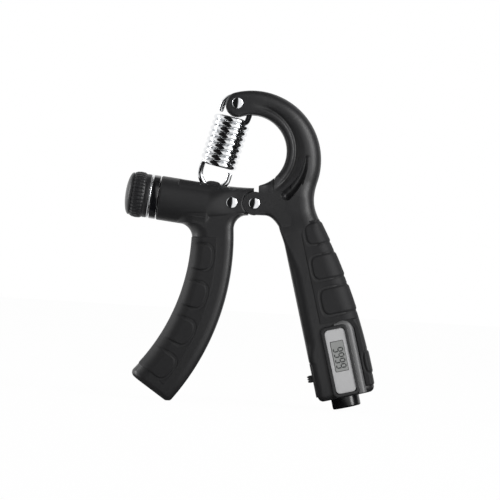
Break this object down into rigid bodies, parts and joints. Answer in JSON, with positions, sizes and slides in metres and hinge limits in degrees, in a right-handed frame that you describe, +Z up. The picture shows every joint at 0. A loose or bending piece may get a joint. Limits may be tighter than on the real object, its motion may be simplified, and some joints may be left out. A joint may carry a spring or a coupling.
{
  "type": "hand grip strengthener",
  "caption": "Two-lever hand exerciser with an arched spring arm, a screw-adjusted coil spring, rubber grips and a squeeze counter.",
  "frame": {"origin": "bottom centre of the bounding box, on the surface the object stands on", "axes": "+Z up, +X towards the finger lever, -Y is the front with the counter display"},
  "size_m": [0.135, 0.0248, 0.163],
  "materials": {
    "black_plastic": "fine moulded texture, soft sheen",
    "soft_rubber": "soft-touch overmould, matt",
    "gloss_black": "polished",
    "knob_plastic": "ribbed, satin",
    "frame_plastic": "satin rim of the counter",
    "polished_chrome": "bright plating",
    "steel": "machined",
    "bronze": "machined, oiled",
    "nylon": "natural nylon",
    "grey_plate": "light grey satin plate",
    "display_glass": "reflective display under clear glass",
    "board": "lacquered circuit board"
  },
  "bodies": {
    "palm_lever": {"palm_lever": "black_plastic", "palm_grip": "soft_rubber", "hinge_tongue": "steel", "pivot_bushing": "bronze", "front_hinge_washer": "nylon", "rear_hinge_washer": "nylon", "cross_pin": "polished_chrome", "barrel_bush": "bronze", "barrel_collar": "gloss_black", "thrust_washer": "steel"},
    "tension_knob": {"lead_screw": "steel", "knob_ring": "polished_chrome", "tension_knob": "knob_plastic", "knob_nut": "steel", "knob_end_cap": "gloss_black"},
    "tension_slider": {"tension_slider": "black_plastic", "slider_nut": "bronze"},
    "finger_lever": {"finger_lever": "black_plastic", "finger_grip": "soft_rubber", "pivot_pin": "polished_chrome", "anchor_pin": "polished_chrome", "counter_frame": "frame_plastic", "counter_faceplate": "grey_plate", "lcd_window": "display_glass", "counter_circuit_board": "board", "button_cell": "steel", "reset_switch": "black_plastic", "side_cover": "black_plastic", "upper_cover_screw": "steel", "lower_cover_screw": "steel", "trigger_switch": "black_plastic"},
    "count_trigger": {"count_trigger": "knob_plastic"},
    "reset_button": {"reset_button": "gloss_black"},
    "spring_roller": {"spring_roller": "steel"},
    "tension_spring": {"tension_spring": "polished_chrome"}
  },
  "joints": [
    {"name": "knob_turn", "type": "hinge", "parent": "palm_lever", "child": "tension_knob", "pos_m": [-0.00072, 0.0004, 0.09986], "axis": [0.9953, 0, -0.0965], "range_deg": [0, 2160]},
    {"name": "slider_travel", "type": "slide", "parent": "palm_lever", "child": "tension_slider", "axis": [-0.9953, 0, 0.0965], "range_m": [-0.0003, 0.00905]},
    {"name": "squeeze", "type": "hinge", "parent": "palm_lever", "child": "finger_lever", "pos_m": [-0.00026, 0.0004, 0.10454], "axis": [0, -1, 0], "range_deg": [-36, 0], "stiffness_Nm_per_rad": 6, "springref_deg": 0.69},
    {"name": "trigger_press", "type": "slide", "parent": "finger_lever", "child": "count_trigger", "axis": [0.965, 0, 0.2624], "range_m": [0, 0.0015], "stiffness_N_per_m": 600, "springref_m": -0.0008},
    {"name": "reset_press", "type": "slide", "parent": "finger_lever", "child": "reset_button", "axis": [-0.2624, 0, 0.965], "range_m": [0, 0.0012], "stiffness_N_per_m": 2500, "springref_m": -0.0008},
    {"name": "roller_turn", "type": "hinge", "parent": "finger_lever", "child": "spring_roller", "pos_m": [-0.01205, 0.0004, 0.15596], "axis": [0, -1, 0], "range_deg": [-12.93, 0.3]},
    {"name": "spring_stretch", "type": "slide", "parent": "spring_roller", "child": "tension_spring", "axis": [-0.274, 0, -0.9617], "range_m": [-0.0004, 0.01627], "deforming": ["tension_spring"]}
  ],
  "couplings": [
    {"joint": "slider_travel", "follows": "knob_turn", "m_per_rad": 0.00023873},
    {"joint": "roller_turn", "follows": "knob_turn", "ratio": -0.0058469},
    {"joint": "spring_stretch", "follows": "squeeze", "m_per_rad": -0.025262}
  ]
}
